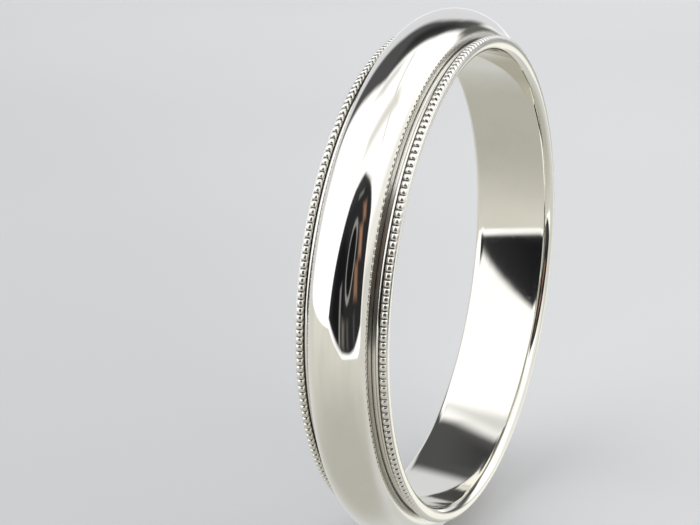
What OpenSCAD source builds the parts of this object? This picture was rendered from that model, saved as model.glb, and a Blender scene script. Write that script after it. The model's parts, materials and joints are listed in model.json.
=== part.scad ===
// Half-round wedding band with milgrain edges, in the bench-made construction:
// a comfort-fit sleeve carries a half-round hoop between two stepped shoulder
// wires and two beaded edge wires, and solder lines join the hoops.
// The ring stands upright. Its axis is Y and its origin is the centre of the bore.

/* [Band] */
// Inside diameter of the bore, ring size 7
bore_d = 17.3; // [13:0.1:23]
// Width from side face to side face
band_w = 3.4; // [2.8:0.1:6]
// Thickness from the bore to the crown of the dome
band_t = 1.48; // [1.1:0.01:2.4]

/* [Dome] */
// Radius of the two shoulders of the dome, limited by its height
dome_corner_r = 0.84; // [0.3:0.01:1]

/* [Inner sleeve] */
// Wall of the sleeve that touches the finger
sleeve_t = 0.32; // [0.25:0.01:0.5]
// Comfort rounding from the bore into each side face, limited by the edge's height
edge_round = 0.34; // [0.1:0.01:0.5]

/* [Shoulder wires] */
// Width of the flat wire at each foot of the dome
shoulder_w = 0.21; // [0.14:0.01:0.3]
// Height of its outer half above the sleeve
shoulder_h = 0.12; // [0.1:0.01:0.2]
// Drop of its inner half, next to the dome
shoulder_step = 0.03; // [0.01:0.01:0.04]

/* [Milgrain wires] */
// Beads on each edge wire
bead_count = 220; // [120:4:300]
// Width of the bead row, which is twice its height
bead_w = 0.27; // [0.2:0.01:0.36]
// Plain rim left between the beads and the side face
rim_w = 0.03; // [0.02:0.01:0.1]
// Height of that rim above the sleeve
rim_h = 0.13; // [0.1:0.01:0.2]
// Depth of the notch between two beads
notch_depth = 0.09; // [0.03:0.01:0.09]
// Share of the bead pitch that the notch takes
notch_share = 0.35; // [0.2:0.05:0.5]

/* [Solder lines] */
// Gap between two neighbouring hoops, filled with solder at its floor
solder_w = 0.04; // [0.03:0.01:0.08]
// Height of the solder above the sleeve
solder_h = 0.045; // [0.02:0.005:0.06]

/* [Hidden] */
$fn = 180;

WHITE_GOLD = [0.86, 0.85, 0.82];
POLISHED_GOLD = [0.91, 0.9, 0.88];
SOLDER = [0.62, 0.61, 0.58];

FRONT = -1;
REAR = 1;

// Radii, from the bore outwards
bore_r = bore_d / 2;
sleeve_r = bore_r + sleeve_t;
crown_r = bore_r + band_t;
rim_r = sleeve_r + rim_h;
bead_r = bead_w / 2;
inner_round = min(edge_round, sleeve_t + rim_h - 0.05);

// Distances from the middle plane, from the side face inwards
half_w = band_w / 2;
bead_edge = half_w - rim_w - bead_w;
bead_mid = half_w - rim_w - bead_r;
shoulder_edge = bead_edge - solder_w - shoulder_w;
dome_half = shoulder_edge - solder_w;

// Dome profile: a flat crown arc runs tangent into two rounder shoulder arcs,
// which end upright on a straight foot. The arcs meet at blend_angle.
blend_angle = 30;
dome_foot_r = sleeve_r + shoulder_h - shoulder_step;
flat_share = (1 - cos(blend_angle)) / sin(blend_angle);
tight_share = cos(blend_angle) - (1 - sin(blend_angle)) * flat_share;
tallest_corner_r = (crown_r - dome_foot_r - dome_half * flat_share) / tight_share;
corner_r = min(dome_corner_r, tallest_corner_r);
crown_arc_r = (dome_half - corner_r * (1 - sin(blend_angle))) / sin(blend_angle);
corner_y = dome_half - corner_r;
crown_half = crown_arc_r * sin(blend_angle);
spring_r = crown_r - crown_arc_r + (crown_arc_r - corner_r) * cos(blend_angle);

// Turns a section into a hoop about the Y axis. Its x is the radius and its y
// is the distance from the middle plane towards the side given.
module hoop(side = REAR) {
  rotate([side * -90, 0, 0])
    rotate_extrude()
      children();
}

// Rectangle between two radii and two distances from the middle plane
module block(r_low, r_high, y_low, y_high) {
  translate([r_low, y_low])
    square([r_high - r_low, y_high - y_low]);
}

// Everything outside the bore and its two comfort roundings
module comfort_envelope() {
  block(bore_r, crown_r, inner_round - half_w, half_w - inner_round);
  block(bore_r + inner_round, crown_r, -half_w, half_w);
  for (side = [FRONT, REAR])
    translate([bore_r + inner_round, side * (half_w - inner_round)])
      circle(inner_round);
}

module inner_sleeve() {
  color(WHITE_GOLD)
    hoop()
      intersection() {
        block(bore_r, sleeve_r, -half_w, half_w);
        comfort_envelope();
      }
}

module half_round_band() {
  color(POLISHED_GOLD)
    hoop()
      union() {
        block(sleeve_r, spring_r, -dome_half, dome_half);
        intersection() {
          block(sleeve_r, crown_r, -crown_half, crown_half);
          translate([crown_r - crown_arc_r, 0])
            circle(crown_arc_r);
        }
        for (side = [FRONT, REAR])
          intersection() {
            block(sleeve_r, crown_r, min(0, side * dome_half), max(0, side * dome_half));
            translate([spring_r, side * corner_y])
              circle(corner_r);
          }
      }
}

// Flat wire with one step down towards the dome
module shoulder_wire(side) {
  step_edge = shoulder_edge + shoulder_w / 2;
  color(WHITE_GOLD)
    hoop(side)
      union() {
        block(sleeve_r, sleeve_r + shoulder_h - shoulder_step, shoulder_edge, shoulder_edge + shoulder_w);
        block(sleeve_r, sleeve_r + shoulder_h, step_edge, shoulder_edge + shoulder_w);
      }
}

// Slots across the bead row, one between each two beads. Their walls point at
// the ring's axis and their floor lies on a cylinder about it.
module bead_notches() {
  for (i = [0 : bead_count - 1])
    rotate([0, 0, 360 * (i - notch_share / 2) / bead_count])
      rotate_extrude(angle = 360 * notch_share / bead_count)
        block(rim_r + bead_r - notch_depth, rim_r + bead_w, bead_edge - rim_w, half_w + rim_w);
}

// Edge wire: a plain rim at the side face and a half-round row of beads
module milgrain_wire(side) {
  color(POLISHED_GOLD)
    rotate([side * -90, 0, 0])
      difference() {
        rotate_extrude()
          union() {
            intersection() {
              block(sleeve_r, rim_r, bead_edge, half_w);
              comfort_envelope();
            }
            intersection() {
              block(rim_r, rim_r + bead_w, bead_edge, half_w);
              translate([rim_r, bead_mid])
                circle(bead_r);
            }
          }
        bead_notches();
      }
}

// Thin line of solder on the sleeve, between two hoops
module solder_line(side, y_low) {
  color(SOLDER)
    hoop(side)
      block(sleeve_r, sleeve_r + solder_h, y_low, y_low + solder_w);
}

module front_shoulder_wire() { shoulder_wire(FRONT); }
module rear_shoulder_wire() { shoulder_wire(REAR); }
module front_milgrain_wire() { milgrain_wire(FRONT); }
module rear_milgrain_wire() { milgrain_wire(REAR); }
module front_dome_solder() { solder_line(FRONT, dome_half); }
module rear_dome_solder() { solder_line(REAR, dome_half); }
module front_milgrain_solder() { solder_line(FRONT, bead_edge - solder_w); }
module rear_milgrain_solder() { solder_line(REAR, bead_edge - solder_w); }

inner_sleeve();
half_round_band();
front_shoulder_wire();
rear_shoulder_wire();
front_milgrain_wire();
rear_milgrain_wire();
front_dome_solder();
rear_dome_solder();
front_milgrain_solder();
rear_milgrain_solder();
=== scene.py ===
"""A half-round wedding band with beaded edges: its pieces, their finishes and the studio round it."""

import json
import math

import bpy
import numpy as np
from mathutils import Matrix, Vector


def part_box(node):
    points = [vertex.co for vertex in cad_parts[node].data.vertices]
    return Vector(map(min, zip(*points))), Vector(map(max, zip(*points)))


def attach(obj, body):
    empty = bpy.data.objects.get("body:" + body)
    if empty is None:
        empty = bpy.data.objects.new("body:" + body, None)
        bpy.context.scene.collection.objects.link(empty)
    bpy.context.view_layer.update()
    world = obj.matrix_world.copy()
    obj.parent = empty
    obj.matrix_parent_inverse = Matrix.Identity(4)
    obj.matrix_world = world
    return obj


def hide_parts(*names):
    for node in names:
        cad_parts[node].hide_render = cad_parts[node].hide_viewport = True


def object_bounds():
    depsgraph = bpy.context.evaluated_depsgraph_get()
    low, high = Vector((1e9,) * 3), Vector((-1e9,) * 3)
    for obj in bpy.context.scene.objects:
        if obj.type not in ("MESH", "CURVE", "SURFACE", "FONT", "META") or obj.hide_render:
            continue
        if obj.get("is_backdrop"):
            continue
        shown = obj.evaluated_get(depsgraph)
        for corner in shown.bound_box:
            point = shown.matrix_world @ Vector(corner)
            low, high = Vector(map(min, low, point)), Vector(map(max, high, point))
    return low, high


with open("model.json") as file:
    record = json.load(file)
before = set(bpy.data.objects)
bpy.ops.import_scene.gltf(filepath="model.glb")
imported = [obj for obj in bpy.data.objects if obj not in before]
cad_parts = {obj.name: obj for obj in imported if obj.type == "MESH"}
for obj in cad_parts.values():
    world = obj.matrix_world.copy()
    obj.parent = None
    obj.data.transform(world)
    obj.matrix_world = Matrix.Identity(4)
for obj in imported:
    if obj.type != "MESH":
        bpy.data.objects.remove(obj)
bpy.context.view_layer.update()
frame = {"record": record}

bl_info = {
    "name": "Milgrain Wedding Band",
    "version": (1, 0, 0),
    "blender": (4, 5, 0),
    "location": "View3D > Sidebar > Band",
    "description": "Builds the hoops of a half-round wedding band, their finishes and a small studio",
    "category": "Add Mesh",
}

MM = 0.001
BODY = "root"
BORE_RADIUS = next(m for m in frame["record"]["mounts"] if m["name"] == "finger_bore")["dims"]["r_mm"] * MM
SIDES = {"front": -1, "rear": 1}

# Points round the band on each kind of hoop; the milgrain wires take theirs from their beads
SLEEVE_TURNS = 720
DOME_TURNS = 1080
SHOULDER_TURNS = 720
SOLDER_TURNS = 900


# ---------------------------------------------------------------- settings

def length(name, description, millimetres):
    """A length setting, stated in millimetres and kept in metres."""
    return bpy.props.FloatProperty(
        name=name, description=description, default=millimetres * MM, min=0, precision=6, unit="LENGTH"
    )


def turn(name, description, degrees):
    """An angle setting, stated in degrees."""
    return bpy.props.FloatProperty(
        name=name, description=description, default=math.radians(degrees), unit="ROTATION"
    )


def share(name, description, value):
    """A setting between 0 and 1."""
    return bpy.props.FloatProperty(
        name=name, description=description, default=value, min=0, max=1, subtype="FACTOR"
    )


def tint(name, description, value):
    """A colour setting in linear light."""
    return bpy.props.FloatVectorProperty(
        name=name, description=description, default=value, size=3, min=0, max=4, subtype="COLOR"
    )


class BandSizes(bpy.types.PropertyGroup):
    """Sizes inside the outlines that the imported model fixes."""

    crown_arc: length("Crown arc", "Radius of the flatter arc across the dome", 1.38)
    corner_arc: length("Corner arc", "Radius of the rounder arcs at the dome's sides", 0.84)
    blend: turn("Blend angle", "Slope of the dome where its arcs meet", 30)
    comfort: length("Comfort rounding", "Radius from the bore into a side face", 0.34)
    bore_crown: length("Bore crown", "Radius of the slight swell across the bore", 31)
    rim_width: length("Rim width", "Plain rim between the beads and the side face", 0.03)
    rim_drop: length("Rim drop", "Height of the beads above the rim", 0.135)
    soft_edge: length("Soft edge", "Rounding that polishing leaves on a small edge", 0.014)
    step_drop: length("Shoulder step", "Drop of the shoulder wire's inner half", 0.03)
    meniscus: length("Solder hollow", "Depth of the hollow along a solder line", 0.012)
    bead_count: bpy.props.IntProperty(
        name="Beads", description="Beads on each edge wire", default=220, min=60, max=320
    )
    bead_fill: share("Bead fill", "Part of the bead pitch that a bead takes along the wire", 0.97)
    valley: share("Valley height", "Height of the floor between two beads, as part of a bead's", 0.45)


class BandFinish(bpy.types.PropertyGroup):
    """Colours and polish of the metal."""

    gold: tint("White gold", "Colour of the polished metal", (0.91, 0.895, 0.845))
    bore_gold: tint("Bore gold", "Colour of the metal inside the band", (0.88, 0.865, 0.80))
    # Painted shade: this dark colour stands for the shade in the narrow groove where the solder lies beside
    # the beads.
    solder: tint("Solder", "Colour of the solder beside the beads, darkened by polish", (0.22, 0.20, 0.175))
    # Painted shade: grooves and crevices are darkened towards this colour; the random dark flecks take it as
    # dirt.
    dirt_and_shade: tint("Grime", "Colour of polish and oxide left in the grooves", (0.05, 0.038, 0.03))
    polish: share("Dome polish", "Roughness of the mirror finish on the dome", 0.035)
    foot_dulling: share("Foot dulling", "Roughness added at the dome's foot, below the polishing wheel", 0.26)
    bore_polish: share("Bore polish", "Roughness inside the band", 0.055)
    satin: share("Shoulder satin", "Roughness of the shoulder wires", 0.11)
    bead_satin: share("Bead satin", "Roughness of the beads", 0.23)
    bright_solder: share("Bright solder", "Roughness of the solder beside the dome", 0.3)
    dark_solder: share("Dark solder", "Roughness of the solder beside the beads", 0.45)


class StudioSetup(bpy.types.PropertyGroup):
    """Camera, floor and the light tent round the band."""

    azimuth: turn("Azimuth", "Turn of the camera about the vertical", -65.939)
    elevation: turn("Elevation", "Height of the camera above the horizon", 17.238)
    distance: length("Distance", "From the camera to the aim, along the view", 65.515)
    sideways: length("Sideways", "How far the aim lies to the right of the band's centre", -3.404)
    upwards: length("Upwards", "How far the aim lies above the band's centre", 0.477)
    focal: bpy.props.FloatProperty(
        name="Focal length", description="Lens on a 36 mm sensor", default=88.11, min=20, unit="CAMERA"
    )
    floor: tint("Floor", "Colour of the pale floor", (0.83, 0.842, 0.85))
    tent: tint("Tent", "Light of the white tent", (1.27, 1.275, 1.29))
    backdrop: tint("Backdrop", "Light behind the band, as the camera sees it", (0.68, 0.70, 0.71))


# ------------------------------------------------------------ shader maths

class Flow:
    """A socket in a node tree that takes part in ordinary sums; each operator adds one Math node."""

    def __init__(self, tree, socket=None):
        self.tree = tree
        self.socket = socket

    def node(self, kind, settings=None, values=None, output=0):
        """Adds any node: its settings first, then the values or links of its sockets; gives one output."""
        made = self.tree.nodes.new(kind)
        for key, value in (settings or {}).items():
            setattr(made, key, value)
        for key, value in (values or {}).items():
            if isinstance(value, Flow):
                self.tree.links.new(value.socket, made.inputs[key])
            else:
                made.inputs[key].default_value = value
        return Flow(self.tree, made.outputs[output] if len(made.outputs) else None)

    def maths(self, operation, *terms):
        """One Math node over up to three terms, each a number or another flow."""
        return self.node("ShaderNodeMath", {"operation": operation}, dict(enumerate(terms)))

    def __add__(self, other):
        return self.maths("ADD", self, other)

    def __sub__(self, other):
        return self.maths("SUBTRACT", self, other)

    def __rsub__(self, other):
        return self.maths("SUBTRACT", other, self)

    def __mul__(self, other):
        return self.maths("MULTIPLY", self, other)

    def __truediv__(self, other):
        return self.maths("DIVIDE", self, other)

    __radd__ = __add__
    __rmul__ = __mul__

    def root(self):
        return self.maths("SQRT", self)

    def size(self):
        return self.maths("ABSOLUTE", self)

    def least(self, other):
        return self.maths("MINIMUM", self, other)

    def most(self, other):
        return self.maths("MAXIMUM", self, other)

    def rise(self, low, high):
        """0 below low, 1 above high, and a smooth step between them."""
        values = {0: self, 1: low, 2: high, 3: 0.0, 4: 1.0}
        return self.node("ShaderNodeMapRange", {"interpolation_type": "SMOOTHSTEP"}, values)

    def dot(self, vector):
        return self.node("ShaderNodeVectorMath", {"operation": "DOT_PRODUCT"}, {0: self, 1: vector}, "Value")

    def vector(self, x, y, z):
        return self.node("ShaderNodeCombineXYZ", None, {0: x, 1: y, 2: z})

    def axis(self, index):
        return self.node("ShaderNodeSeparateXYZ", None, {0: self}, index)

    def noise(self, scale, detail=2.0, roughness=0.5):
        values = {"Vector": self, "Scale": scale, "Detail": detail, "Roughness": roughness}
        return self.node("ShaderNodeTexNoise", None, values, "Fac")

    def blend(self, under, over):
        """Mix of two colours, with this flow as the share of the second."""
        values = {"Factor": self, 6: paint(under), 7: paint(over)}
        return self.node("ShaderNodeMix", {"data_type": "RGBA"}, values, 2)


def paint(colour):
    """A colour as a Mix node takes it: a flow as it is, or a tuple with alpha added."""
    return colour if isinstance(colour, Flow) else (*colour[:3], 1.0)


def new_tree(owner):
    """Switches nodes on, clears them, and gives a flow that starts in the empty tree."""
    owner.use_nodes = True
    owner.node_tree.nodes.clear()
    return Flow(owner.node_tree)


# ------------------------------------------------------------------ metal

# Patterns in the metal: waves per radian round the band and waves per metre across it
POLISHING_LINES = (1.3, 14000.0)
SCRATCHES = (30.0, 5200.0)

# Patterns that run alike in all directions: waves per metre
SLOW_WAVES = 900.0
SMUDGES = 420.0
FLECKS = 9000.0

# Depth of the bump for a height of one, in metres
BUMP_DEPTH = 2.0e-7


def metal(name, colour, roughness, finish, groove=None, wobble=1.0, lines=1.0, flecks=0.0, dull=None):
    """Polished or satin white gold.

    Radius and angle about the Y axis come from Object coordinates. Fine lines run round the band,
    because it is polished as it turns. A slow wobble and faint smudges break the mirror up. Where
    given, groove is a function of radius, distance from the middle plane and angle that darkens
    crevices with painted shade, and dull is a function of radius that roughens what the polishing wheel does
    not reach.
    """
    material = bpy.data.materials.new(name)
    start = new_tree(material)
    place = start.node("ShaderNodeTexCoord", output="Object")
    x, y, z = place.axis(0), place.axis(1), place.axis(2)
    radius = (x * x + z * z).root()
    angle = start.maths("ARCTAN2", z, x)

    def drawn_round(scales):
        along, across = scales
        return start.vector(angle * along, y * across, radius * across)

    fine = drawn_round(POLISHING_LINES).noise(1.0, 3.0, 0.6)
    scratches = drawn_round(SCRATCHES).noise(1.0, 1.0).rise(0.66, 0.72)
    slow = place.noise(SLOW_WAVES, 2.0)
    smudge = place.noise(SMUDGES, 4.0, 0.6).rise(0.45, 0.75)
    shade = smudge.blend(colour, [c * 0.965 for c in colour[:3]])
    if flecks:
        spots = place.noise(FLECKS, 2.0).rise(0.62, 0.72) * flecks
        shade = spots.blend(shade, finish.dirt_and_shade)
    # Painted shade: the groove mask darkens crevices towards the dirt-and-shade colour.
    if groove:
        shade = groove(radius, y.size(), angle).blend(shade, finish.dirt_and_shade)
    rough = smudge * 0.03 + scratches * 0.03 + roughness
    if dull:
        rough = rough + dull(radius)
    height = fine * (0.25 * lines) + slow * (2.2 * wobble)
    bump = start.node("ShaderNodeBump", None, {"Distance": BUMP_DEPTH, "Height": height}, "Normal")
    values = {"Base Color": shade, "Metallic": 1.0, "Roughness": rough, "Normal": bump}
    surface = start.node("ShaderNodeBsdfPrincipled", None, values)
    start.node("ShaderNodeOutputMaterial", None, {"Surface": surface})
    return material


# --------------------------------------------------------------- surfaces

def arc(middle, radius, first, last, steps):
    """Points (distance from the middle plane, radius from the axis) on a circle about middle.

    The angle starts at the outward radius and grows towards the side, in degrees.
    """
    angle = np.radians(np.linspace(first, last, steps + 1))
    return np.column_stack((middle[0] + radius * np.sin(angle), middle[1] + radius * np.cos(angle)))


def ring_grid(across, radius, angles):
    """Corner points of a closed ring: each profile point (across, radius) is carried round the Y axis.

    x = radius cos(angle), y = across, z = radius sin(angle), as an array of turns by profile points.
    """
    across, radius = np.broadcast_arrays(across, radius)
    full = np.ones((len(angles), 1))
    angles = angles[:, None]
    return np.stack((radius * np.cos(angles), across * full, radius * np.sin(angles)), axis=-1)


def ring_quads(turns, points):
    """Four corners of each face of the grid, which closes on itself both round the band and across it."""
    i, j = np.meshgrid(np.arange(turns), np.arange(points), indexing="ij")
    near = i * points
    far = (i + 1) % turns * points
    beside = (j + 1) % points
    return np.stack((near + j, far + j, far + beside, near + beside), axis=-1).reshape(-1, 4)


def enclosed(points, quads):
    """Volume inside the faces: the box products of each triangle's corners, summed, over six."""
    a, b, c, d = (points[quads[:, k]] for k in range(4))
    halves = np.einsum("ij,ij->i", a, np.cross(b, c)) + np.einsum("ij,ij->i", a, np.cross(c, d))
    return halves.sum() / 6


def ring_piece(name, grid, material, nodes, crease=38):
    """Makes the grid a mesh whose faces point outwards, hangs it on the body's empty and hides the nodes it
    stands in for.
    """
    points = grid.reshape(-1, 3)
    quads = ring_quads(*grid.shape[:2])
    if enclosed(points, quads) < 0:
        quads = quads[:, ::-1]
    mesh = bpy.data.meshes.new(name)
    mesh.from_pydata(points.tolist(), [], quads.tolist())
    mesh.shade_smooth()
    mesh.set_sharp_from_angle(angle=math.radians(crease))
    mesh.materials.append(material)
    if mesh.validate():
        raise RuntimeError(f"{name} has faulty faces")
    piece = bpy.data.objects.new(name, mesh)
    bpy.context.scene.collection.objects.link(piece)
    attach(piece, BODY)
    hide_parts(*nodes)
    return piece


def even_turns(count):
    return np.arange(count) * (2 * math.pi / count)


def soften(corners, radius, steps=4):
    """Rounds each corner of a closed outline that turns by a right angle.

    The corner is replaced by points of a quarter circle that touches both of its edges.
    """
    corners = np.array(corners)
    before = np.roll(corners, 1, axis=0) - corners
    after = np.roll(corners, -1, axis=0) - corners
    reach = np.minimum(np.linalg.norm(before, axis=1), np.linalg.norm(after, axis=1)) * 0.45
    reach = np.minimum(reach, radius)[:, None, None]
    before = (before / np.linalg.norm(before, axis=1)[:, None])[:, None, :]
    after = (after / np.linalg.norm(after, axis=1)[:, None])[:, None, :]
    angle = np.linspace(0, math.pi / 2, steps + 1)[None, :, None]
    rounded = corners[:, None, :] + reach * (before * (1 - np.sin(angle)) + after * (1 - np.cos(angle)))
    return rounded.reshape(-1, 2)


def reach_of(node):
    """Radius, and nearest and farthest distance from the middle plane, of a node that is a hoop."""
    low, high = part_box(node)
    ends = sorted((abs(low.y), abs(high.y)))
    return high.x, ends[0], ends[1]


# ------------------------------------------------------------------ pieces

class BAND_OT_inner_sleeve(bpy.types.Operator):
    """Comfort-fit sleeve: the bore swells inwards a little and rounds into both side faces"""

    bl_idname = "band.inner_sleeve"
    bl_label = "Inner sleeve"

    def execute(self, context):
        sizes, finish = context.scene.band_sizes, context.scene.band_finish
        outer, _, _ = reach_of("inner_sleeve")
        rounding = sizes.comfort
        middle = (half_width() - rounding, BORE_RADIUS + rounding)
        last = math.degrees(math.acos((outer - middle[1]) / rounding))
        across = np.linspace(-1, 1, 25) * middle[0]
        rise = across[-1] ** 2 / (2 * sizes.bore_crown)
        start = math.degrees(math.acos(rise / rounding - 1))
        right = arc(middle, rounding, start, last, 18)
        left = arc((-middle[0], middle[1]), rounding, -last, -start, 18)
        swell = np.column_stack((across, BORE_RADIUS + across ** 2 / (2 * sizes.bore_crown)))
        swell = swell[np.abs(across) < right[0, 0] - 0.02 * MM]
        profile = np.vstack((right, left, swell))
        grid = ring_grid(profile[:, 0], profile[:, 1], even_turns(SLEEVE_TURNS))
        gold = metal("bore_polish", finish.bore_gold, finish.bore_polish, finish, wobble=1.3, lines=1.6)
        ring_piece("sleeve_comfort_fit", grid, gold, ["inner_sleeve"])
        return {"FINISHED"}


class BAND_OT_half_round_band(bpy.types.Operator):
    """Half-round hoop: a flat crown arc runs into a rounder arc and an upright foot on each side"""

    bl_idname = "band.half_round_band"
    bl_label = "Half-round band"

    def execute(self, context):
        sizes, finish = context.scene.band_sizes, context.scene.band_finish
        crown, _, half = reach_of("half_round_band")
        foot, _, _ = reach_of("inner_sleeve")
        slope = math.degrees(sizes.blend)
        corner_side = half - sizes.corner_arc
        spring = crown - sizes.crown_arc + (sizes.crown_arc - sizes.corner_arc) * math.cos(sizes.blend)
        middle = arc((0, crown - sizes.crown_arc), sizes.crown_arc, -slope, slope, 26)
        right = arc((corner_side, spring), sizes.corner_arc, slope, 90, 22)[1:]
        left = arc((-corner_side, spring), sizes.corner_arc, -90, -slope, 22)[:-1]
        profile = np.vstack((left, middle, right, [(half, foot), (-half, foot)]))
        grid = ring_grid(profile[:, 0], profile[:, 1], even_turns(DOME_TURNS))

        def foot_satin(radius):
            return (1 - radius.rise(spring + 0.03 * MM, spring + 0.24 * MM)) * finish.foot_dulling

        # Painted shade: the lowest part of the dome's foot, where it meets the shoulder wire, is darkened.
        def crevice(radius, distance, angle):
            return (1 - radius.rise(spring - 0.13 * MM, spring - 0.07 * MM)) * 0.8

        gold = metal("dome_polish", finish.gold, finish.polish, finish, crevice, dull=foot_satin)
        ring_piece("dome_half_round", grid, gold, ["half_round_band"])
        return {"FINISHED"}


class BAND_OT_shoulder_wires(bpy.types.Operator):
    """Two flat wires at the feet of the dome, each with one step down towards it"""

    bl_idname = "band.shoulder_wires"
    bl_label = "Shoulder wires"

    def execute(self, context):
        sizes, finish = context.scene.band_sizes, context.scene.band_finish
        base, _, _ = reach_of("inner_sleeve")
        _, near, far = reach_of("front_shoulder_wire")
        middle = (near + far) / 2

        # Painted shade: a thin dark line along the step in the wire's middle, and darkening beside its outer
        # edge.
        def groove(radius, distance, angle):
            off = distance - middle
            step = 1 - off.size().rise(0.008 * MM, 0.028 * MM)
            return step * 0.75 + distance.rise(far - 0.03 * MM, far - 0.008 * MM) * 0.8

        gold = metal("shoulder_satin", finish.gold, finish.satin, finish, groove, flecks=0.12)
        for side, sign in SIDES.items():
            node = f"{side}_shoulder_wire"
            top, inner, outer = reach_of(node)
            step = (inner + outer) / 2
            low = top - sizes.step_drop
            corners = [(inner, base), (inner, low), (step, low), (step, top), (outer, top), (outer, base)]
            profile = soften(corners, sizes.soft_edge)
            grid = ring_grid(sign * profile[:, 0], profile[:, 1], even_turns(SHOULDER_TURNS))
            ring_piece(f"shoulder_{side}", grid, gold, [node])
        return {"FINISHED"}


class BAND_OT_milgrain_wires(bpy.types.Operator):
    """Two edge wires, each with a row of rounded beads and a plain rim beside it"""

    bl_idname = "band.milgrain_wires"
    bl_label = "Milgrain wires"

    def execute(self, context):
        sizes, finish = context.scene.band_sizes, context.scene.band_finish
        base, _, _ = reach_of("inner_sleeve")
        for side, sign in SIDES.items():
            node = f"{side}_milgrain_wire"
            crest, inner, outer = reach_of(node)
            rim = crest - sizes.rim_drop
            row_middle = (inner + outer - sizes.rim_width) / 2
            row_half = row_middle - inner

            # Painted shade: the gaps between the beads and the low foot of the bead row are darkened, the
            # plain rim not.
            def groove(radius, distance, angle):
                gap = angle.maths("COSINE", angle * sizes.bead_count).rise(0.86, 0.97)
                bar = 1 - (distance - row_middle).size().rise(row_half * 0.62, row_half * 0.9)
                foot = 1 - radius.rise(rim - 0.01 * MM, rim + 0.02 * MM)
                row = 1 - distance.rise(outer - sizes.rim_width * 1.2, outer - sizes.rim_width * 0.8)
                return (gap * bar).most(foot * row * 0.4) * 0.92

            gold = metal(f"bead_polish_{side}", finish.gold, finish.bead_satin, finish, groove, lines=0.3)
            grid = bead_wire(sizes, sign, (inner, outer), (base, rim))
            ring_piece(f"milgrain_{side}", grid, gold, [node], crease=50)
        return {"FINISHED"}


def bead_wire(sizes, sign, ends, radii):
    """Grid of an edge wire with its beads.

    Across the wire, v runs from -1 to 1 over the bead row; along it, t runs from -1 to 1 over one
    bead pitch. A bead is rim + h sqrt(1 - |v|^2.3 - |t / fill|^5), where h is half the row's width,
    and never lower than the valley, rim + valley h sqrt(1 - v^2).
    """
    inner, outer = ends
    base, rim = radii
    row_end = outer - sizes.rim_width
    height = (row_end - inner) / 2
    v = np.array([-1, -0.95, -0.8, -0.52, -0.18, 0.18, 0.52, 0.8, 0.95, 1])
    t = np.array([-1, -0.94, -0.84, -0.68, -0.36, 0.0, 0.36, 0.68, 0.84, 0.94])
    plan = (np.abs(t / sizes.bead_fill) ** 5)[:, None] + (np.abs(v) ** 2.3)[None, :]
    bead = np.sqrt(np.clip(1 - plan, 0, None))
    valley = sizes.valley * np.sqrt(1 - v ** 2)[None, :]
    row = rim + height * np.maximum(bead, valley)
    edge = sizes.soft_edge * 0.7
    rounding = sizes.comfort
    middle = (outer - rounding, BORE_RADIUS + rounding)
    lip = arc((outer - edge, rim - edge), edge, 0, 90, 3)
    last = math.degrees(math.acos((base - middle[1]) / rounding))
    curl = arc(middle, rounding, 90, last, 2)
    plain = np.vstack((lip, curl, [(inner, base)]))
    across = np.concatenate(((inner + row_end) / 2 + height * v, plain[:, 0]))
    radius = np.hstack((row, np.broadcast_to(plain[:, 1], (len(t), len(plain)))))
    pitch = 2 * math.pi / sizes.bead_count
    angles = ((np.arange(sizes.bead_count)[:, None] + 0.5 + t[None, :] / 2) * pitch).ravel()
    radius = np.tile(radius, (sizes.bead_count, 1))
    return ring_grid(sign * across, radius, angles)


class BAND_OT_solder_lines(bpy.types.Operator):
    """Four thin solder lines between the hoops, each hollowed a little along its middle"""

    bl_idname = "band.solder_lines"
    bl_label = "Solder lines"

    def execute(self, context):
        sizes, finish = context.scene.band_sizes, context.scene.band_finish
        uneven = {"wobble": 4.0, "lines": 0.2}
        looks = {
            "dome": metal("solder_bright", finish.gold, finish.bright_solder, finish, flecks=0.1, **uneven),
            # The solder beside the beads takes the dark solder colour, painted shade for the narrow groove it
            # lies in.
            "milgrain": metal("solder_painted_shade", finish.solder, finish.dark_solder, finish, flecks=0.3, **uneven),
        }
        base, _, _ = reach_of("inner_sleeve")
        turns = even_turns(SOLDER_TURNS)
        for side, sign in SIDES.items():
            for place in looks:
                node = f"{side}_{place}_solder"
                top, inner, outer = reach_of(node)
                grid = solder_grid(sizes, sign, (inner, outer), (base, top), turns)
                ring_piece(f"solder_{place}_{side}", grid, looks[place], [node])
        return {"FINISHED"}


def solder_grid(sizes, sign, ends, radii, turns):
    """Grid of a solder line.

    Its top is a hollow: full height at both walls and lower by up to the hollow's depth between
    them, as 1 - v^2. Three slow waves round the band make the depth uneven.
    """
    inner, outer = ends
    base, top = radii
    v = np.linspace(-1, 1, 7)
    waves = np.sin(13 * turns) + np.sin(29 * turns + 1) + np.sin(61 * turns + 2)
    depth = sizes.meniscus * (0.7 + 0.1 * waves)
    hollow = top - depth[:, None] * (1 - v ** 2)[None, :]
    across = np.concatenate(((inner + outer) / 2 + (outer - inner) / 2 * v, [outer, inner]))
    radius = np.hstack((hollow, np.full((len(turns), 2), base)))
    return ring_grid(sign * across, radius, turns)


def half_width():
    """Half the band's width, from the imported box."""
    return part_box("rear_milgrain_wire")[1].y


# ------------------------------------------------------------------- stage

def direction(azimuth, elevation):
    """Unit vector: azimuth 0 looks back along -Y and 90 along +X, elevation is above the horizon."""
    a, e = np.radians(azimuth), np.radians(elevation)
    return np.array((np.sin(a) * np.cos(e), -np.cos(a) * np.cos(e), np.sin(e)))


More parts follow.
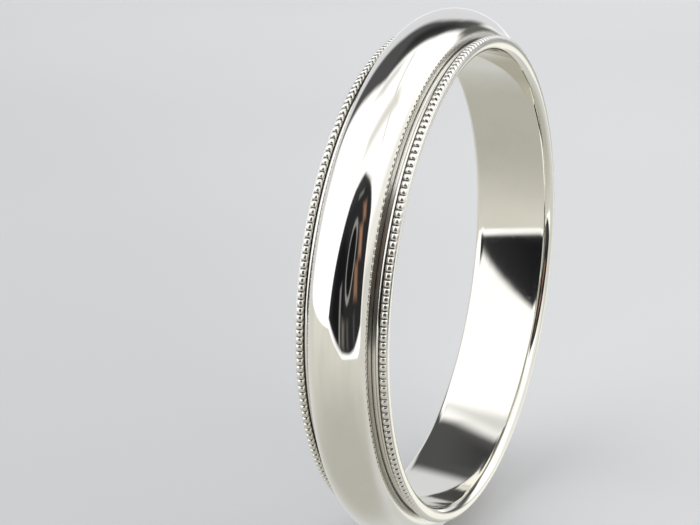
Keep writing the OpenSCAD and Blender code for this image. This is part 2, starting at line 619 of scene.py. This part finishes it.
def patch(ray, corners, softness):
    """Share of a patch of the surroundings, seen along the ray.

    Each edge is a plane through the band's centre and two neighbouring corners. The least of the
    ray's sines above those planes is positive inside the patch, and softness spreads its edge.
    """
    points = np.array([direction(*corner) for corner in corners])
    centre = points.mean(axis=0)
    inside = None
    for first, second in zip(points, np.roll(points, -1, axis=0)):
        normal = np.cross(first, second)
        normal *= np.sign(normal @ centre) / np.linalg.norm(normal)
        height = ray.dot(normal.tolist())
        inside = height if inside is None else inside.least(height)
    spread = math.sin(math.radians(softness))
    return inside.rise(-spread, spread)


# Corners in degrees of the dark doorway that the band faces
DOORWAY = [
    (-118, -9), (-102, -13), (-80, -17.8), (-61, -22), (-46, -21), (-10, -19), (2, -12), (-2, 2),
    (-11, 15), (-19, 29), (-25, 43), (-36, 50.5), (-66, 54), (-90, 47.5), (-97.5, 41), (-104, 31),
    (-109, 17), (-113.5, 4),
]
DOORWAY_TOP = [(-95, 38), (-78, 44), (-45, 45), (-35, 40), (-40, 50), (-58, 53), (-78, 51)]
ARCH = [
    (66, 4), (67, 26), (74, 46), (92, 61), (118, 67), (147, 69), (160, 60), (163, 45), (160, 25), (155, 5),
]

# Patches of the surroundings in the order they are painted: corners in degrees, softness and light
PATCHES = {
    "top haze": ([(-95, 60), (10, 60), (30, 70), (-100, 70)], 5, (0.80, 0.79, 0.76)),
    "side haze": ([(128, -30), (128, 14), (168, 14), (178, -30)], 9, (0.70, 0.70, 0.69)),
    "panel shade": ([(100, 66), (150, 70), (178, 64), (170, 78), (100, 76)], 4, (0.78, 0.78, 0.79)),
    "front panel": ([(-10, 14), (40, 14), (52, -10), (-10, -10)], 7, (0.94, 0.93, 0.90)),
    "front shade": ([(-4, 0), (16, -2), (44, -8), (44, -24), (-4, -24)], 4, (0.70, 0.695, 0.66)),
    "doorway": (DOORWAY, 1.2, (0.026, 0.026, 0.029)),
    "doorway core": (
        [(-107, -5), (-90, -13), (-76, -15), (-78, 22), (-92, 30), (-103, 22)], 6, (0.010, 0.010, 0.012)
    ),
    "doorway top": (DOORWAY_TOP, 5, (0.05, 0.05, 0.055)),
    "pale post": ([(-88, 8), (-85, 10), (-80, -15), (-84, -14)], 2.0, (0.30, 0.295, 0.27)),
    "wide post": ([(-78, -4), (-71, -6), (-69, -16), (-76, -15)], 3.0, (0.16, 0.155, 0.135)),
    "grey post 1": ([(-66, -5), (-61, -5), (-57, -16), (-62, -16)], 2.5, (0.09, 0.088, 0.08)),
    "grey post 2": ([(-45, -5), (-38, -4), (-31, -15), (-37, -16)], 3.0, (0.07, 0.07, 0.068)),
    "warm strip 1": ([(-52, 38), (-44, 37), (-36, 28), (-46, 30)], 2.5, (0.34, 0.19, 0.12)),
    "warm strip 2": ([(-53, 29), (-44, 28), (-34, 14), (-46, 16)], 3.0, (0.40, 0.22, 0.145)),
    "warm strip 3": ([(-54, 15), (-44, 14), (-33, 0), (-48, 2)], 3.0, (0.30, 0.16, 0.10)),
    "light arc": ([(-72, 43), (-58, 44), (-58, 45.6), (-72, 45)], 1.0, (0.22, 0.22, 0.21)),
    "arch": (ARCH, 3.5, (0.085, 0.086, 0.09)),
    "arch core": ([(70, 18), (77, 42), (96, 56), (124, 60), (112, 46), (90, 36)], 6, (0.028, 0.028, 0.030)),
    "arch inside": ([(76, -4), (82, 22), (95, 32), (126, 33), (146, 21), (152, 0)], 5, (0.74, 0.75, 0.79)),
    "arch foot": ([(64, -11), (64, 10), (74, 10), (77, -11)], 3, (0.13, 0.132, 0.12)),
    "pale ledge": ([(54, -15), (82, -15), (86, -32), (50, -32)], 3, (1.05, 1.04, 0.98)),
}

# Seams between the tent's panels: both ends in degrees
SEAMS = [((81, 64), (35, 76)), ((35, 76), (-23, 58))]
SEAM_LIGHT = (0.80, 0.80, 0.80)

# The floor's disc, and the gap that keeps it clear of the band, in metres
FLOOR_RADIUS = 1.3
FLOOR_GAP = 0.002 * MM

# The pale table: its light below the band, farther out and towards +X
TABLE_NEAR = (0.78, 0.77, 0.71)
TABLE_FAR = (0.50, 0.495, 0.45)
TABLE_SIDE = (0.69, 0.695, 0.69)

# The table's far edge: two points of its slope on the left, and its level there and elsewhere
TABLE_SLOPE = ((-118, -7), (-61, -21.8))
TABLE_LEVEL_LEFT = -8.5
TABLE_LEVEL = -20

# The ring round the lens: its middle and its half-widths in degrees, and its light
LENS_MIDDLE = (-66.5, 18.0)
LENS_HALF = (9.5, 16.0)
LENS_BLACK = (0.010, 0.010, 0.011)
LENS_GREY = (0.34, 0.34, 0.33)


def seam(ray, first, second):
    """Share of a soft narrow line between two points of the tent: near their plane and between them."""
    a, b = direction(*first), direction(*second)
    normal = np.cross(a, b) / np.linalg.norm(np.cross(a, b))
    middle = (a + b) / np.linalg.norm(a + b)
    off = ray.dot(normal.tolist())
    near = 1 - off.size().rise(0.006, 0.035)
    reach = float(a @ middle)
    return near * ray.dot(middle.tolist()).rise(reach - 0.03, reach + 0.005)


def surroundings(ray, tent):
    """Light that the metal mirrors: a white tent over a pale table, with a dark doorway and an arch.

    The table ends at the lower of its level and its edge on the left, which is the higher of the
    slope's plane and the left level. Each is a sine above its own plane.
    """
    x, z = ray.axis(0), ray.axis(2)
    drift = ray.node("ShaderNodeTexNoise", None, {"Vector": ray, "Scale": 1.7, "Detail": 2.0}, "Fac")
    table = (0 - z).rise(0.12, 0.85).blend(TABLE_NEAR, TABLE_FAR)
    table = x.rise(0.05, 0.6).blend(table, TABLE_SIDE)
    table = (drift.rise(0.35, 0.7) * 0.35).blend(table, TABLE_FAR)
    slope = np.cross(*(direction(*end) for end in TABLE_SLOPE))
    slope *= math.copysign(1, slope[2]) / np.linalg.norm(slope)
    left = ray.dot(slope.tolist()).most(z - math.sin(math.radians(TABLE_LEVEL_LEFT)))
    horizon = left.least(z - math.sin(math.radians(TABLE_LEVEL)))
    light = horizon.rise(-0.006, 0.008).blend(table, tent)
    for first, second in SEAMS:
        light = seam(ray, first, second).blend(light, SEAM_LIGHT)
    for corners, softness, colour in PATCHES.values():
        light = patch(ray, corners, softness).blend(light, colour)
    return lens_ring(ray, light)


def lens_ring(ray, light):
    """A thin grey ring with a black middle: s is the ray's distance from its centre in half-widths."""
    centre = direction(*LENS_MIDDLE)
    beside = direction(LENS_MIDDLE[0] + 90, 0)
    above = np.cross(beside, centre)
    across, along, ahead = (ray.dot(axis.tolist()) for axis in (beside, above, centre))
    across = across / math.sin(math.radians(LENS_HALF[0]))
    along = along / math.sin(math.radians(LENS_HALF[1]))
    s = (across * across + along * along).root() + (1 - ahead.rise(0.0, 0.1)) * 9
    light = (1 - s.rise(0.85, 1.0)).blend(light, LENS_BLACK)
    ring = s.rise(0.8, 0.92) * (1 - s.rise(1.0, 1.12))
    return (ring * 0.85).blend(light, LENS_GREY)


class BAND_OT_stage(bpy.types.Operator):
    """Pale floor, soft light tent and the camera"""

    bl_idname = "band.stage"
    bl_label = "Stage"

    def execute(self, context):
        studio = context.scene.band_studio
        make_floor(studio)
        make_tent(context.scene, studio)
        make_camera(context.scene, studio)
        context.scene.view_settings.view_transform = "Standard"
        return {"FINISHED"}


def make_floor(studio):
    """A disc of rings of points: radius grows by the square of the ring's number, height stays level."""
    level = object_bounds()[0].z - FLOOR_GAP
    rings, spokes = 24, 96
    radius = FLOOR_RADIUS * (np.arange(1, rings + 1) / rings) ** 2
    angles = even_turns(spokes)
    x = radius[:, None] * np.cos(angles)
    y = radius[:, None] * np.sin(angles)
    z = np.full_like(x, level)
    points = np.vstack(([0, 0, level], np.stack((x, y, z), axis=-1).reshape(-1, 3)))
    i, j = np.meshgrid(np.arange(rings - 1), np.arange(spokes), indexing="ij")
    beside = (j + 1) % spokes
    inner, outer = 1 + i * spokes, 1 + (i + 1) * spokes
    quads = np.stack((inner + j, outer + j, outer + beside, inner + beside), axis=-1).reshape(-1, 4)
    spoke = np.arange(spokes)
    fans = np.column_stack((np.zeros(spokes, int), 1 + spoke, 1 + (spoke + 1) % spokes))
    mesh = bpy.data.meshes.new("floor")
    mesh.from_pydata(points.tolist(), [], quads.tolist() + fans.tolist())
    mesh.materials.append(floor_paint(studio))
    floor = bpy.data.objects.new("floor", mesh)
    bpy.context.scene.collection.objects.link(floor)
    floor.visible_glossy = False
    floor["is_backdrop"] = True


def floor_paint(studio):
    """Matt pale paint with painted light, a little lighter towards +X, with a slow and faint drift of tone.
    """
    material = bpy.data.materials.new("floor_paint")
    start = new_tree(material)
    place = start.node("ShaderNodeTexCoord", output="Object")
    x, y = place.axis(0), place.axis(1)
    far = (x * x + y * y).root() + 0.01
    # Painted light and shade: the floor is lighter towards +X and -Y and darker towards -X and +Y.
    lit = ((x - y * 0.9) / far).rise(-0.2, 0.75)
    drift = place.noise(22.0, 1.0).rise(0.3, 0.7)
    tone = (lit * 0.8 + drift * 0.2).blend([c * 0.86 for c in studio.floor], studio.floor)
    surface = start.node("ShaderNodeBsdfPrincipled", None, {"Base Color": tone, "Roughness": 0.9})
    start.node("ShaderNodeOutputMaterial", None, {"Surface": surface})
    return material


def make_tent(scene, studio):
    """The world: the surroundings for everything but the camera, which sees a plain pale backdrop."""
    world = bpy.data.worlds.new("light_tent")
    scene.world = world
    start = new_tree(world)
    ray = start.node("ShaderNodeTexCoord", output="Generated")
    tent = start.node("ShaderNodeBackground", None, {"Color": surroundings(ray, tuple(studio.tent))})
    plain = start.node("ShaderNodeBackground", None, {"Color": (*studio.backdrop, 1.0)})
    seen = start.node("ShaderNodeLightPath", output="Is Camera Ray")
    both = start.node("ShaderNodeMixShader", None, {0: seen, 1: tent, 2: plain})
    start.node("ShaderNodeOutputWorld", None, {"Surface": both})


def make_camera(scene, studio):
    """Places the camera: the aim lies beside the band's centre, and the camera stands back from it."""
    a, e = studio.azimuth, studio.elevation
    back = Vector((math.sin(a) * math.cos(e), -math.cos(a) * math.cos(e), math.sin(e)))
    right = Vector((math.cos(a), math.sin(a), 0))
    up = back.cross(right)
    data = bpy.data.cameras.new("camera")
    data.lens = studio.focal
    data.sensor_width = 36
    data.clip_start = 0.002
    data.clip_end = 5
    camera = bpy.data.objects.new("camera", data)
    camera.matrix_world = Matrix.LocRotScale(
        back * studio.distance + right * studio.sideways + up * studio.upwards,
        Matrix((right, up, back)).transposed().to_quaternion(),
        None,
    )
    scene.collection.objects.link(camera)
    scene.camera = camera


# ------------------------------------------------------------------- panel

STEPS = [
    BAND_OT_inner_sleeve,
    BAND_OT_half_round_band,
    BAND_OT_shoulder_wires,
    BAND_OT_milgrain_wires,
    BAND_OT_solder_lines,
    BAND_OT_stage,
]
GROUPS = {"band_sizes": BandSizes, "band_finish": BandFinish, "band_studio": StudioSetup}


class BAND_PT_workbench(bpy.types.Panel):
    """Lists the settings and the steps of the build"""

    bl_idname = "BAND_PT_workbench"
    bl_label = "Wedding band"
    bl_space_type = "VIEW_3D"
    bl_region_type = "UI"
    bl_category = "Band"

    def draw(self, context):
        for step in STEPS:
            self.layout.operator(step.bl_idname)
        for name, group in GROUPS.items():
            box = self.layout.box()
            for setting in group.__annotations__:
                box.prop(getattr(context.scene, name), setting)


def register():
    for group in GROUPS.values():
        bpy.utils.register_class(group)
    for name, group in GROUPS.items():
        setattr(bpy.types.Scene, name, bpy.props.PointerProperty(type=group))
    for step in STEPS:
        bpy.utils.register_class(step)
    bpy.utils.register_class(BAND_PT_workbench)


def unregister():
    bpy.utils.unregister_class(BAND_PT_workbench)
    for step in reversed(STEPS):
        bpy.utils.unregister_class(step)
    for name in GROUPS:
        delattr(bpy.types.Scene, name)
    for group in reversed(GROUPS.values()):
        bpy.utils.unregister_class(group)


def main():
    register()
    bpy.ops.band.inner_sleeve()
    bpy.ops.band.half_round_band()
    bpy.ops.band.shoulder_wires()
    bpy.ops.band.milgrain_wires()
    bpy.ops.band.solder_lines()
    bpy.ops.band.stage()


if __name__ == "__main__":
    main()
